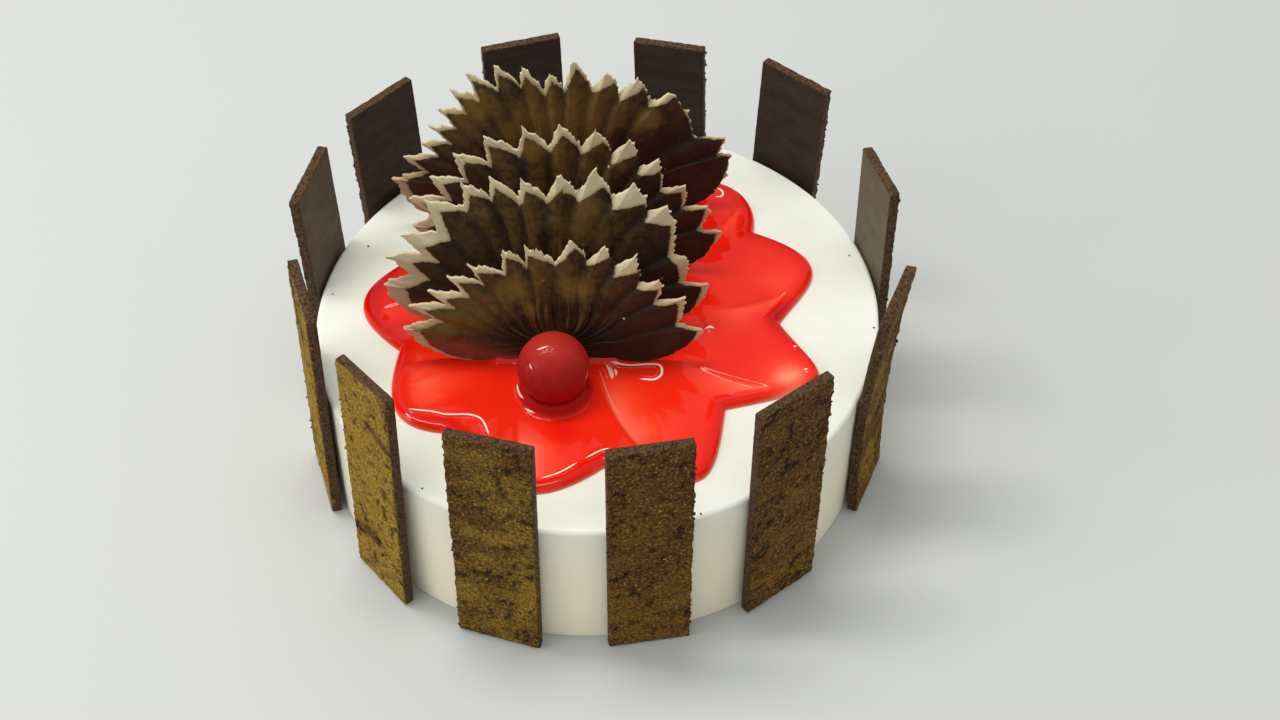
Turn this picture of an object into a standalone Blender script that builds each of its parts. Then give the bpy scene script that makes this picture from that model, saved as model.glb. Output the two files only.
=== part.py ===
"""Round cream cake with a red gel topping, a red ball, chocolate fans and a fence of panels.

Metres, +Z up. The origin is at the middle of the cake's base, on the surface that the cake
and its panels stand on. The front of the cake looks along -Y.
"""

import random
from math import atan2, cos, radians, sin

import bmesh
import bpy
from mathutils import Matrix, Vector
from mathutils.geometry import interpolate_bezier

MM = 0.001

# Cake: an 8 inch round with a smooth cream coat.
CAKE_RADIUS = 103.2 * MM
CAKE_HEIGHT = 58.0 * MM
CAKE_SEGMENTS = 96
CAKE_TOP_ROUND = 1.8 * MM
CAKE_BASE_SHIFT = Vector((-1.6, -0.7)) * MM
CAKE_UNEVEN = 0.35 * MM
CLEARANCE = 0.3 * MM

# Gel: lobes spooned out from the middle, each from its notch over two handles to the next
# notch, in millimetres, clockwise from the back right.
GEL_LOBES = (
    ((24, 58), (38, 76), (68, 66)),
    ((61, 36), (96, 17), (77, 5)),
    ((66, -12), (78, -39), (92, -43)),
    ((43, -52), (36, -89), (34, -90)),
    ((0, -75), (-35, -101), (-40, -71)),
    ((-56, -56), (-72, -53), (-78, -43)),
    ((-72, -16), (-92, 4), (-92, 16)),
    ((-66, 33), (-72, 60), (-44, 78)),
    ((-24, 60), (-16, 88), (14, 86)),
)
GEL_MIDDLE = Vector((0.0, -5.0)) * MM
GEL_THICKNESS = 2.6 * MM
GEL_SCOOP_DEPTH = 1.2 * MM
GEL_SCOOP_LENGTH = 20.0 * MM
GEL_SCOOP_WIDTH = 11.0 * MM
GEL_SCOOP_PLACE = 0.62
GEL_LOBE_STEPS = 10
GEL_EDGE = ((0.0, 0.3), (0.0, 0.9), (0.9, 2.1), (2.6, 2.6))
GEL_RINGS = (0.86, 0.68, 0.48, 0.28)

# Ball: sunk a little way into the gel in front of the fans.
BALL_RADIUS = 12.7 * MM
BALL_PLACE = Vector((-16.1, -40.4)) * MM
BALL_ABOVE_CAKE = 1.2 * MM
BALL_RINGS = 14

# Fans: each stands on its base line and leans back from it. A tooth is the direction of
# its tip from the pivot in degrees, from the right end round to the left, and its length
# in millimetres.
FAN_BASE_ABOVE_CAKE = 3.3 * MM
FAN_PIVOT_HEIGHT = 7.0 * MM
FAN_THICKNESS = 1.7 * MM
FAN_PLEAT = 1.5 * MM
FAN_PLEAT_GROWTH = 0.35
FAN_INNER_RADIUS = 2.6 * MM
FAN_RINGS = (0.0, 0.2, 0.42, 0.64, 0.84, 1.0)
FAN_END_ANGLES = (-44, -30, -18)
FAN_END_LOBE = ((-9, 0.74), (-1, 0.88))
TOOTH_HOLLOW = 0.42
TOOTH_SIDE_FOLD = 0.5
END_FOLD = 0.3
NOTCH_DEPTH = 10.5 * MM
NOTCH_DEPTH_PER_DEGREE = 1.15 * MM
NOTCH_SHALLOWER_RIGHT = 0.3
NOTCH_SHARE = 0.36
NOTCH_SHARE_SWING = 0.2
FANS = {
    "fan_front": {
        "place": (-15.2, -25.3),
        "turn": -4.3,
        "lean": 3,
        "teeth": (
            (8, 53), (26, 50), (39, 48), (55, 50), (68, 49), (81, 49), (100, 46),
            (110, 47), (127, 46), (138, 48), (150, 49), (160, 54), (172, 54),
        ),
    },
    "fan_second": {
        "place": (-17.4, -7.9),
        "turn": -4.3,
        "lean": 8,
        "teeth": (
            (11, 59), (24, 55), (46, 62), (59, 63), (73, 62), (84, 58), (97, 56),
            (107, 60), (117, 61), (131, 62), (148, 59), (158, 61), (170, 60),
        ),
    },
    "fan_third": {
        "place": (-12.3, 19.9),
        "turn": -5,
        "lean": 8,
        "teeth": (
            (10, 60), (22, 59), (34, 55), (49, 55), (62, 57), (75, 56), (88, 56),
            (102, 56), (117, 57), (130, 57), (144, 57), (156, 60), (167, 55),
        ),
    },
    "fan_back": {
        "place": (-10.5, 50.6),
        "turn": 0,
        "lean": 8,
        "teeth": (
            (14, 66), (21, 66), (46, 61), (60, 59), (71, 57), (84, 60), (93, 55), (102, 59),
            (111, 63), (120, 65), (128, 63), (136, 61), (144, 59), (152, 59), (160, 63), (169, 65),
        ),
    },
}

# Panels: a fence of upright slabs round the wall, each cut a little differently by hand.
# Turn is about the vertical, lean is the top towards the cake, tip is the slab's own roll,
# bow is how far its middle bends in, slope is the rise of its top edge across its width.
PANEL_WIDTH = 30.2 * MM
PANEL_HEIGHT = 101.0 * MM
PANEL_THICKNESS = 3.8 * MM
PANEL_TO_WALL = 0.35 * MM
PANEL_COLUMNS = 3
PANEL_ROWS = 6
PANEL_RAGGED = 0.35 * MM
PANEL_DEFAULTS = {"turn": 0, "lean": 0, "tip": 0, "width": 1, "height": 1, "bow": 0, "slope": 0}
PANELS = (
    {"azimuth": -111.4, "turn": 1.4, "lean": 3.0, "tip": -0.9, "slope": 0.032},
    {"azimuth": -83.3, "lean": 1.2, "tip": -1.4, "width": 0.95, "slope": 0.015},
    {"azimuth": -56.1, "turn": 1.6, "lean": 0.7, "tip": -2.3, "width": 1.03},
    {"azimuth": -23.2, "turn": -2.5, "lean": -2.5, "tip": -1.2, "width": 0.96, "bow": 2.4, "slope": 0.019},
    {"azimuth": 9.6, "turn": 2.5, "lean": -0.8, "tip": -1.6, "width": 0.95, "slope": -0.029},
    {"azimuth": 44.4, "turn": 2.2, "lean": -3.4, "tip": 1.4, "height": 1.01},
    {"azimuth": 71.2, "turn": 1.9, "lean": 0.3, "tip": -0.5, "width": 0.93},
    {"azimuth": 103.3, "turn": -0.6, "lean": -0.7, "width": 1.03, "height": 1.02},
    {"azimuth": 136.7, "turn": -2.3, "lean": -0.9, "width": 1.02, "height": 1.02},
    {"azimuth": 162.4, "turn": 1.6, "lean": 0.7, "tip": -0.9, "width": 1.02, "height": 1.03},
    {"azimuth": 194.2, "turn": 1.6, "lean": 2.8, "tip": -1.6, "width": 1.04, "height": 1.02},
    {"azimuth": 222.6, "turn": -4.7, "lean": 3.7, "tip": 0.4, "width": 0.95, "height": 1.02, "slope": 0.041},
)


def clear_scene():
    for item in list(bpy.data.objects):
        bpy.data.objects.remove(item)


def make_material(name, colour, roughness, metallic=0.0):
    material = bpy.data.materials.new(name)
    material.use_nodes = True
    shader = material.node_tree.nodes["Principled BSDF"]
    shader.inputs["Base Color"].default_value = (*colour, 1.0)
    shader.inputs["Roughness"].default_value = roughness
    shader.inputs["Metallic"].default_value = metallic
    return material


def make_object(name, mesh_data, material, sharp_degrees=None):
    """Turns the bmesh into an object, with its faces pointing outwards."""
    bmesh.ops.recalc_face_normals(mesh_data, faces=mesh_data.faces)
    mesh = bpy.data.meshes.new(name)
    mesh_data.to_mesh(mesh)
    mesh_data.free()
    mesh.materials.append(material)
    if sharp_degrees is not None:
        mesh.shade_smooth()
        mesh.set_sharp_from_angle(angle=radians(sharp_degrees))
    made = bpy.data.objects.new(name, mesh)
    bpy.context.scene.collection.objects.link(made)
    return made


def wall_unevenness(angle):
    return CAKE_UNEVEN * (0.6 * sin(2 * angle + 0.5) + 0.4 * sin(5 * angle))


def wall_middle(height):
    """The axis of the wall at this height: the base sits a little off the top."""
    return CAKE_BASE_SHIFT * (1 - height / CAKE_HEIGHT)


def build_cake(material):
    shape = bmesh.new()
    made = bmesh.ops.create_cone(
        shape,
        cap_ends=True,
        segments=CAKE_SEGMENTS,
        radius1=CAKE_RADIUS,
        radius2=CAKE_RADIUS,
        depth=CAKE_HEIGHT,
    )
    for vert in made["verts"]:
        height = vert.co.z + CAKE_HEIGHT / 2
        angle = atan2(vert.co.y, vert.co.x)
        radius = CAKE_RADIUS + wall_unevenness(angle)
        middle = wall_middle(height)
        vert.co = (middle.x + radius * cos(angle), middle.y + radius * sin(angle), height)
    rim = [edge for edge in shape.edges if min(vert.co.z for vert in edge.verts) > CAKE_HEIGHT / 2]
    bmesh.ops.bevel(shape, geom=rim, offset=CAKE_TOP_ROUND, segments=3, profile=0.5, affect="EDGES")
    make_object("cake", shape, material, sharp_degrees=60)


def gel_outline():
    """Points of the gel's edge, clockwise, with a notch where two lobes meet."""
    points = []
    for index, lobe in enumerate(GEL_LOBES):
        corner, near_handle, far_handle = (Vector(point) * MM for point in lobe)
        next_corner = Vector(GEL_LOBES[(index + 1) % len(GEL_LOBES)][0]) * MM
        curve = interpolate_bezier(corner, near_handle, far_handle, next_corner, GEL_LOBE_STEPS + 1)
        points += curve[:-1]
    return points


def scoop_at(point):
    """How far the spoon has hollowed the gel here, from 0 to 1: once along each lobe."""
    deepest = 0.0
    for lobe in GEL_LOBES:
        tip = (Vector(lobe[1]) + Vector(lobe[2])) * MM / 2
        middle = GEL_MIDDLE.lerp(tip, GEL_SCOOP_PLACE)
        along = (tip - GEL_MIDDLE).normalized()
        offset = point - middle
        forward = offset.dot(along) / GEL_SCOOP_LENGTH
        sideways = offset.cross(along) / GEL_SCOOP_WIDTH
        deepest = max(deepest, 1 - forward**2 - sideways**2)
    return deepest


def build_gel(material):
    outline = gel_outline()
    shape = bmesh.new()
    rings = []
    for inset, height in GEL_EDGE:
        ring = []
        for point in outline:
            arm = point - GEL_MIDDLE
            place = GEL_MIDDLE + arm * (1 - inset * MM / arm.length)
            ring.append(shape.verts.new((*place, CAKE_HEIGHT + height * MM)))
        rings.append(ring)
    for share in GEL_RINGS:
        ring = []
        for point in outline:
            place = GEL_MIDDLE.lerp(point, share)
            height = GEL_THICKNESS - GEL_SCOOP_DEPTH * scoop_at(place)
            ring.append(shape.verts.new((*place, CAKE_HEIGHT + height)))
        rings.append(ring)
    count = len(outline)
    for lower, upper in zip(rings, rings[1:]):
        for index in range(count):
            after = (index + 1) % count
            shape.faces.new((lower[index], lower[after], upper[after], upper[index]))
    for ring, height in ((rings[0], CLEARANCE), (rings[-1], GEL_THICKNESS)):
        centre = shape.verts.new((*GEL_MIDDLE, CAKE_HEIGHT + height))
        for index in range(count):
            shape.faces.new((ring[index], ring[(index + 1) % count], centre))
    bmesh.ops.triangulate(shape, faces=shape.faces)
    return make_object("gel", shape, material, sharp_degrees=40)


def build_ball(name, material, radius):
    shape = bmesh.new()
    bmesh.ops.create_uvsphere(
        shape, u_segments=2 * BALL_RINGS, v_segments=BALL_RINGS, radius=radius
    )
    ball = make_object(name, shape, material, sharp_degrees=180)
    ball.location = Vector((*BALL_PLACE, CAKE_HEIGHT + BALL_ABOVE_CAKE + BALL_RADIUS))
    return ball


def press_ball_into(gel, material):
    """A shallow hollow in the gel for the ball to sit in."""
    cutter = build_ball("ball_hollow", material, BALL_RADIUS + CLEARANCE)
    cutter.hide_render = True
    cutter.display_type = "WIRE"
    hollow = gel.modifiers.new("ball_hollow", "BOOLEAN")
    hollow.operation = "DIFFERENCE"
    hollow.object = cutter


def contact_radius(degrees):
    """How far the base line is from the pivot in a direction below the horizontal."""
    return FAN_PIVOT_HEIGHT / sin(radians(-degrees))


def end_columns(tip_length, mirrored):
    """The round underside of an end tooth, from the base line up to its tip."""
    columns = [(degrees, contact_radius(degrees), 0.0) for degrees in FAN_END_ANGLES]
    for degrees, share in FAN_END_LOBE:
        columns.append((degrees, min(tip_length * share, contact_radius(degrees)), END_FOLD))
    if mirrored:
        columns = [(180 - degrees, length, fold) for degrees, length, fold in reversed(columns)]
    return columns


def fan_columns(teeth):
    """The fan's edge as (degrees, length, fold): fold is 1 on a ridge and -1 in a valley."""
    teeth = [(degrees, length * MM) for degrees, length in teeth]
    columns = end_columns(teeth[0][1], mirrored=False)
    for (here, length), (after, next_length) in zip(teeth, teeth[1:]):
        gap = after - here
        rightward = cos(radians(here + gap / 2))
        depth = min(NOTCH_DEPTH, NOTCH_DEPTH_PER_DEGREE * gap)
        depth *= 1 - NOTCH_SHALLOWER_RIGHT * max(rightward, 0)
        notch = (length + next_length) / 2 - depth
        share = NOTCH_SHARE - NOTCH_SHARE_SWING * rightward
        side = notch + (length - notch) * TOOTH_HOLLOW
        next_side = notch + (next_length - notch) * TOOTH_HOLLOW
        columns.append((here, length, 1.0))
        columns.append((here + gap * share / 2, side, TOOTH_SIDE_FOLD))
        columns.append((here + gap * share, notch, -1.0))
        columns.append((here + gap * (1 + share) / 2, next_side, TOOTH_SIDE_FOLD))
    columns.append((*teeth[-1], 1.0))
    return columns + end_columns(teeth[-1][1], mirrored=True)


def build_fan(name, fan, material):
    """A pleated sheet: X runs along the base line, Y up the fan and Z towards the front."""
    shape = bmesh.new()
    rows = []
    for degrees, length, fold in fan_columns(fan["teeth"]):
        row = []
        for share in FAN_RINGS:
            radius = FAN_INNER_RADIUS + (length - FAN_INNER_RADIUS) * share
            pleat = FAN_PLEAT * fold * share**FAN_PLEAT_GROWTH
            angle = radians(degrees)
            place = (radius * cos(angle), radius * sin(angle), pleat - FAN_THICKNESS / 2)
            row.append(shape.verts.new(place))
        rows.append(row)
    for row, next_row in zip(rows, rows[1:]):
        for index in range(len(row) - 1):
            shape.faces.new((row[index], row[index + 1], next_row[index + 1], next_row[index]))
    bmesh.ops.triangulate(shape, faces=shape.faces)
    sheet = bmesh.ops.extrude_face_region(shape, geom=shape.faces[:])
    raised = [item for item in sheet["geom"] if isinstance(item, bmesh.types.BMVert)]
    bmesh.ops.translate(shape, verts=raised, vec=(0, 0, FAN_THICKNESS))
    made = make_object(name, shape, material, sharp_degrees=40)
    turn = radians(fan["turn"])
    lean = radians(fan["lean"])
    right = Vector((cos(turn), sin(turn), 0))
    back = Vector((-sin(turn), cos(turn), 0))
    up = Vector((0, 0, cos(lean))) + back * sin(lean)
    base = Vector((*fan["place"], 0)) * MM
    base.z = CAKE_HEIGHT + FAN_BASE_ABOVE_CAKE
    made.rotation_euler = axes_matrix(right, up, right.cross(up)).to_euler()
    made.location = base + up * FAN_PIVOT_HEIGHT
    return made


def axes_matrix(x_axis, y_axis, z_axis):
    return Matrix((x_axis, y_axis, z_axis)).transposed()


def panel_mesh(panel, ragged):
    """A slab on its foot: X across, Y up, and Z from its inner to its outer face."""
    width = PANEL_WIDTH * panel["width"]
    height = PANEL_HEIGHT * panel["height"]
    shape = bmesh.new()
    grid = []
    for row in range(PANEL_ROWS + 1):
        line = []
        for column in range(PANEL_COLUMNS + 1):
            across = column / PANEL_COLUMNS - 0.5
            upward = row / PANEL_ROWS
            x = across * width
            y = upward * (height + panel["slope"] * x)
            if abs(across) == 0.5:
                x += ragged.uniform(-1, 1) * PANEL_RAGGED
            bend = -panel["bow"] * MM * 4 * upward * (1 - upward)
            line.append(shape.verts.new((x, y, bend)))
        grid.append(line)
    for line, next_line in zip(grid, grid[1:]):
        for index in range(PANEL_COLUMNS):
            shape.faces.new((line[index], line[index + 1], next_line[index + 1], next_line[index]))
    bmesh.ops.triangulate(shape, faces=shape.faces)
    slab = bmesh.ops.extrude_face_region(shape, geom=shape.faces[:])
    raised = [item for item in slab["geom"] if isinstance(item, bmesh.types.BMVert)]
    bmesh.ops.translate(shape, verts=raised, vec=(0, 0, PANEL_THICKNESS))
    return shape


def panel_axes(panel):
    """Across, up and outwards for one slab."""
    facing = radians(panel["azimuth"] + panel["turn"])
    lean = radians(panel["lean"])
    tip = radians(panel["tip"])
    outward = Vector((cos(facing), sin(facing), 0))
    across = Vector((-sin(facing), cos(facing), 0))
    upward = Vector((0, 0, cos(lean))) - outward * sin(lean)
    tipped = across * cos(tip) + upward * sin(tip)
    raised = upward * cos(tip) - across * sin(tip)
    return tipped, raised, outward * cos(lean) + Vector((0, 0, sin(lean)))


def distance_from_axis(corners, azimuth):
    """How far out a slab's foot stands for its inner face to just clear the wall."""
    outward = Vector((cos(azimuth), sin(azimuth)))
    distance = CAKE_RADIUS
    for _ in range(4):
        gaps = []
        for corner in corners:
            if corner.z > CAKE_HEIGHT + PANEL_HEIGHT / PANEL_ROWS:
                continue
            arm = outward * distance + corner.xy - wall_middle(corner.z)
            gaps.append(arm.length - CAKE_RADIUS - wall_unevenness(atan2(arm.y, arm.x)))
        distance += PANEL_TO_WALL - min(gaps)
    return distance


def build_panel(name, values, material, ragged):
    panel = {**PANEL_DEFAULTS, **values}
    shape = panel_mesh(panel, ragged)
    axes = axes_matrix(*panel_axes(panel))
    corners = [axes @ vert.co for vert in shape.verts]
    azimuth = radians(panel["azimuth"])
    distance = distance_from_axis(corners, azimuth)
    made = make_object(name, shape, material)
    made.rotation_euler = axes.to_euler()
    foot = -min(corner.z for corner in corners)
    made.location = (distance * cos(azimuth), distance * sin(azimuth), foot)
    return made


def main():
    clear_scene()
    cream = make_material("cream", (0.78, 0.80, 0.74), 0.45)
    red_gel = make_material("red_gel", (0.75, 0.02, 0.01), 0.08)
    red_candy = make_material("red_candy", (0.38, 0.02, 0.02), 0.35)
    dark_chocolate = make_material("dark_chocolate", (0.06, 0.035, 0.02), 0.5)
    panel_chocolate = make_material("panel_chocolate", (0.09, 0.055, 0.03), 0.75)
    build_cake(cream)
    gel = build_gel(red_gel)
    build_ball("ball", red_candy, BALL_RADIUS)
    press_ball_into(gel, red_candy)
    for name, fan in FANS.items():
        build_fan(name, fan, dark_chocolate)
    ragged = random.Random(12)
    for number, panel in enumerate(PANELS, start=1):
        build_panel(f"panel_{number:02d}", panel, panel_chocolate, ragged)


main()
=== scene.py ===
import math
import random

import bmesh
import bpy
import numpy as np
from mathutils import Matrix, Vector, noise
from mathutils.geometry import interpolate_bezier


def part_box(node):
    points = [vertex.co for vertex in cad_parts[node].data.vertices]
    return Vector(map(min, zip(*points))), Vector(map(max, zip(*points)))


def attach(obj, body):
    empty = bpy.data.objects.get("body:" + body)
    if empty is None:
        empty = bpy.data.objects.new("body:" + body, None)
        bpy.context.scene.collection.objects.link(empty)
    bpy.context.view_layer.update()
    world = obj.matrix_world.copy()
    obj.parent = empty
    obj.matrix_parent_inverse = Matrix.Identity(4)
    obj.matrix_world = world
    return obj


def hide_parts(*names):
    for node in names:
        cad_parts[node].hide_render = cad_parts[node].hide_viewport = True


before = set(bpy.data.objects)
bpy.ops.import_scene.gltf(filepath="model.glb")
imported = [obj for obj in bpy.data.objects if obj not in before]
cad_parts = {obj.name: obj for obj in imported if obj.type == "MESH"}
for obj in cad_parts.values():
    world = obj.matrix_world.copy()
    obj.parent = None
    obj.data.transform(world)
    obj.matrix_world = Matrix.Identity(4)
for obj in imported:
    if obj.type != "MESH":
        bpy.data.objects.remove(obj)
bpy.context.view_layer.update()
mm = 0.001


# small helpers for colour, shader maths and meshes


def tint(*channels):
    # an sRGB colour, 0 to 255, as the linear one that a shader takes
    colour = []
    for value in channels:
        share = value / 255
        colour.append(share / 12.92 if share <= 0.04045 else ((share + 0.055) / 1.055) ** 2.4)
    return (*colour, 1.0)


def plug(tree, node, sockets):
    # each socket takes a wire or a plain value
    for key, value in sockets.items():
        if isinstance(value, Wire):
            tree.links.new(value.socket, node.inputs[key])
        else:
            node.inputs[key].default_value = value


class Wire:
    # an output socket that can stand in a sum: each operator adds its Math node
    def __init__(self, tree, socket):
        self.tree = tree
        self.socket = socket

    def maths(self, operation, first, second):
        node = self.tree.nodes.new("ShaderNodeMath")
        node.operation = operation
        plug(self.tree, node, {0: first, 1: second})
        return Wire(self.tree, node.outputs[0])

    def __add__(self, other):
        return self.maths("ADD", self, other)

    def __radd__(self, other):
        return self.maths("ADD", other, self)

    def __sub__(self, other):
        return self.maths("SUBTRACT", self, other)

    def __rsub__(self, other):
        return self.maths("SUBTRACT", other, self)

    def __mul__(self, other):
        return self.maths("MULTIPLY", self, other)

    def __rmul__(self, other):
        return self.maths("MULTIPLY", other, self)

    def atMost(self, other):
        return self.maths("MINIMUM", self, other)

    def atLeast(self, other):
        return self.maths("MAXIMUM", self, other)

    def fade(self, low, high):
        # 0 at low and 1 at high, with soft ends
        share = ((self - low) * (1 / (high - low))).atLeast(0.0).atMost(1.0)
        return share * share * (3 - 2 * share)


class Finish:
    # one procedural material round a Principled shader, with the colours of a piece's dictionary
    def __init__(self, name, spec, **values):
        self.spec = spec
        self.material = bpy.data.materials.new(name)
        self.material.use_nodes = True
        self.tree = self.material.node_tree
        self.shader = self.tree.nodes["Principled BSDF"]
        for socket, value in values.items():
            self.shader.inputs[socket.replace("_", " ")].default_value = value

    def node(self, kind, settings=None, sockets=None, output=0):
        # settings first, with a ramp's stops among them, then the sockets' values or links
        made = self.tree.nodes.new(kind)
        for key, value in (settings or {}).items():
            if key == "stops":
                ramp = made.color_ramp.elements
                while len(ramp) < len(value):
                    ramp.new(0.5)
                for stop, (position, colour) in zip(ramp, value):
                    stop.position = position
                    stop.color = colour
            else:
                setattr(made, key, value)
        plug(self.tree, made, sockets or {})
        return Wire(self.tree, made.outputs[output])

    def place(self):
        return self.node("ShaderNodeTexCoord", output="Object")

    def attribute(self, name, output="Fac"):
        return self.node("ShaderNodeAttribute", {"attribute_name": name}, output=output)

    def speckle(self, place, size, detail=3.0, roughness=0.55):
        # noise whose grain is about size metres across
        sockets = {"Vector": place, "Scale": 1 / size, "Detail": detail, "Roughness": roughness}
        return self.node("ShaderNodeTexNoise", sockets=sockets)

    def cells(self, place, size, feature="F1"):
        sockets = {"Vector": place, "Scale": 1 / size}
        return self.node("ShaderNodeTexVoronoi", {"feature": feature}, sockets)

    def stretched(self, place, scale):
        return self.node("ShaderNodeMapping", sockets={"Vector": place, "Scale": scale})

    def blend(self, share, *colours):
        # share 0 is the first colour, 1 the second: each a wire or a name in the dictionary
        first, second = (self.spec[one] if isinstance(one, str) else one for one in colours)
        sockets = {0: share, 6: first, 7: second}
        return self.node("ShaderNodeMix", {"data_type": "RGBA"}, sockets, output=2)

    def layers(self, base, *rows):
        # each row's colour goes over what is there, by its share
        for share, colour in rows:
            base = self.blend(share, base, colour)
        return base

    def ramp(self, value, stops):
        return self.node("ShaderNodeValToRGB", {"stops": stops}, {"Fac": value})

    def gleam(self):
        # a painted highlight, 0 to 1, from what paintGleams wrote: crisp lines however coarse the mesh
        # is
        off = self.attribute("gleamOff")
        inside = self.attribute("gleamHalf") * 1.2 - off.atLeast(-1.0 * off)
        return (inside * 5.0).atLeast(0.0).atMost(1.0) * self.attribute("gleamStrength")

    def feed(self, socket, value):
        self.tree.links.new(value.socket, self.shader.inputs[socket])

    def relief(self, height, depth, strength):
        sockets = {"Height": height, "Distance": depth, "Strength": strength}
        self.feed("Normal", self.node("ShaderNodeBump", sockets=sockets))


def softness(weight, radius, scale):
    return {"Subsurface_Weight": weight, "Subsurface_Radius": radius, "Subsurface_Scale": scale}


def addObject(name, data):
    made = bpy.data.objects.new(name, data)
    bpy.context.scene.collection.objects.link(made)
    return made


def makePiece(name, points, faces, finish, body, nodeNames, sharp=None):
    # sharp is the angle in degrees over which an edge is drawn crisp
    mesh = bpy.data.meshes.new(name)
    mesh.from_pydata(np.asarray(points).tolist(), [], faces)
    mesh.materials.append(finish.material)
    mesh.shade_smooth()
    if sharp is not None:
        mesh.set_sharp_from_angle(angle=math.radians(sharp))
    piece = addObject(name, mesh)
    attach(piece, body)
    if nodeNames:
        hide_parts(*nodeNames)
    return piece


def paint(piece, name, values):
    # a number or a place for each point, which the shader reads
    values = np.asarray(values, np.float32)
    kind, key = ("FLOAT", "value") if values.ndim == 1 else ("FLOAT_VECTOR", "vector")
    piece.data.attributes.new(name, kind, "POINT").data.foreach_set(key, values.ravel())


def roughness(points, size, octaves=3, offset=0.0):
    # noise from -1 to 1 at each point, with grain of this size
    found = []
    for point in np.asarray(points) / size + offset:
        found.append(noise.fractal(Vector(point), 1.0, 2.0, octaves))
    return np.array(found)


def smooth(value, low, high):
    share = np.clip((value - low) / (high - low), 0, 1)
    return share * share * (3 - 2 * share)


def farFrom(points, x, y):
    return np.hypot(points[:, 0] - x, points[:, 1] - y)


def distanceTo(points, line):
    # from each point to the nearest place on a line of points, and which stretch it is on
    starts = line[:-1]
    spans = line[1:] - starts
    lengths = np.maximum((spans**2).sum(1), 1e-12)
    nearest = np.full(len(points), np.inf)
    stretch = np.zeros(len(points), int)
    for index in range(len(starts)):
        arm = points - starts[index]
        share = np.clip(arm @ spans[index] / lengths[index], 0, 1)
        gap = np.sqrt(((arm - share[:, None] * spans[index]) ** 2).sum(1))
        closer = gap < nearest
        nearest[closer] = gap[closer]
        stretch[closer] = index
    return nearest, stretch


def curve(corners, samples=8):
    # a smooth line through these corners
    corners = np.array(corners, float)
    padded = np.vstack([2 * corners[0] - corners[1], corners, 2 * corners[-1] - corners[-2]])
    found = []
    for index in range(len(corners) - 1):
        before, start, end, after = padded[index:index + 4]
        for share in np.arange(samples) / samples:
            bend = (2 * before - 5 * start + 4 * end - after) * share**2
            bend += (3 * start - before - 3 * end + after) * share**3
            found.append(start + 0.5 * ((end - before) * share + bend))
    return np.array(found + [corners[-1]])


def paintGleams(piece, points, lines, reach=1.7):
    # for each point within reach of a line of painted highlight: how far off it is, its half width and
    # strength
    nearest = np.full(len(points), reach)
    found = np.full((len(points), 3), (9.0, 0.0, 0.0))
    for half, strength, corners in lines:
        line = curve(corners)
        away, stretch = distanceTo(points, line)
        span = line[stretch + 1] - line[stretch]
        arm = points - line[stretch]
        side = np.where(span[:, 0] * arm[:, 1] > span[:, 1] * arm[:, 0], 1, -1)
        tip = np.minimum(*(np.hypot(*(points - end).T) for end in (line[0], line[-1])))
        run = np.sqrt(np.clip(tip**2 - away**2, 0, None))
        taper = min(3.0, 0.5 * np.hypot(*np.diff(line, axis=0).T).sum())
        closer = away < nearest
        nearest[closer] = away[closer]
        narrowed = half * smooth(run, 0, taper) ** 0.5
        found[closer] = np.column_stack([side * away, narrowed, np.full(len(away), strength)])[closer]
    for name, values in zip(("gleamOff", "gleamHalf", "gleamStrength"), found.T):
        paint(piece, name, values)


def blockGrid(*counts):
    # the skin of a block: each point as (column, row, layer), and the faces between them
    index = {}
    faces = []
    for first, second, third in ((0, 1, 2), (1, 2, 0), (2, 0, 1)):
        for level in (0, counts[third]):
            for one in range(counts[first]):
                for two in range(counts[second]):
                    ring = ((one, two), (one + 1, two), (one + 1, two + 1), (one, two + 1))
                    face = []
                    for here, there in ring if level else ring[::-1]:
                        key = [level] * 3
                        key[first] = here
                        key[second] = there
                        face.append(index.setdefault(tuple(key), len(index)))
                    faces.append(tuple(face))
    return np.array(list(index)), faces


def ringFaces(rings, count):
    # the quads between rings of count points each
    faces = []
    for low in range(0, (rings - 1) * count, count):
        for index in range(count):
            after = (index + 1) % count
            faces.append((low + index, low + after, low + count + after, low + count + index))
    return faces


def unitSphere(subdivisions):
    shape = bmesh.new()
    bmesh.ops.create_icosphere(shape, subdivisions=subdivisions, radius=1.0)
    points = np.array([tuple(vert.co) for vert in shape.verts])
    faces = [tuple(vert.index for vert in face.verts) for face in shape.faces]
    shape.free()
    return points, faces


def lump(radius, squash, seed):
    # a small crumb: a rough ball, as points and faces
    points, faces = unitSphere(2)
    points *= 1 + 0.35 * roughness(points, 0.9, 2, seed)[:, None]
    return points * np.array((1, 1, squash)) * radius, faces


def addLumps(points, faces, places, sizes, source):
    # crumbs stuck on at these places: returns the longer lists
    allPoints = [points]
    allFaces = list(faces)
    count = len(points)
    for place, size in zip(places, sizes):
        crumb, crumbFaces = lump(size, source.uniform(0.6, 1.0), source.uniform(0, 50))
        turn = np.array(Matrix.Rotation(source.uniform(0, 6.28), 3, "X"))
        allPoints.append(crumb @ turn + place)
        allFaces += [tuple(corner + count for corner in face) for face in crumbFaces]
        count += len(crumb)
    return np.concatenate(allPoints), allFaces


# camera, floor and light

studio = {
    "lens": 51.3536,
    "place": (0.0, -0.46999, 0.53886),
    "pan": -1.86038941,
    "tilt": 47.27126877,
    "roll": -1.52893774,
    "floor": tint(198, 200, 199),
    "floorShade": tint(190, 192, 191),
    "sky": tint(238, 240, 237),
    "skyStrength": 0.8,
    "floorReach": 4.0,
    "floorLevel": -0.0002,
    "aim": (0, 0, 0.05),
    "lamps": (
        # name, place, size, watts, colour
        ("overhead", (-0.30, 0.20, 1.30), (0.9, 0.22), 9.8, tint(255, 252, 246)),
        ("window", (-1.40, -0.50, 0.80), (1.0, 0.8), 7.5, tint(250, 252, 254)),
    ),
}


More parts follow.
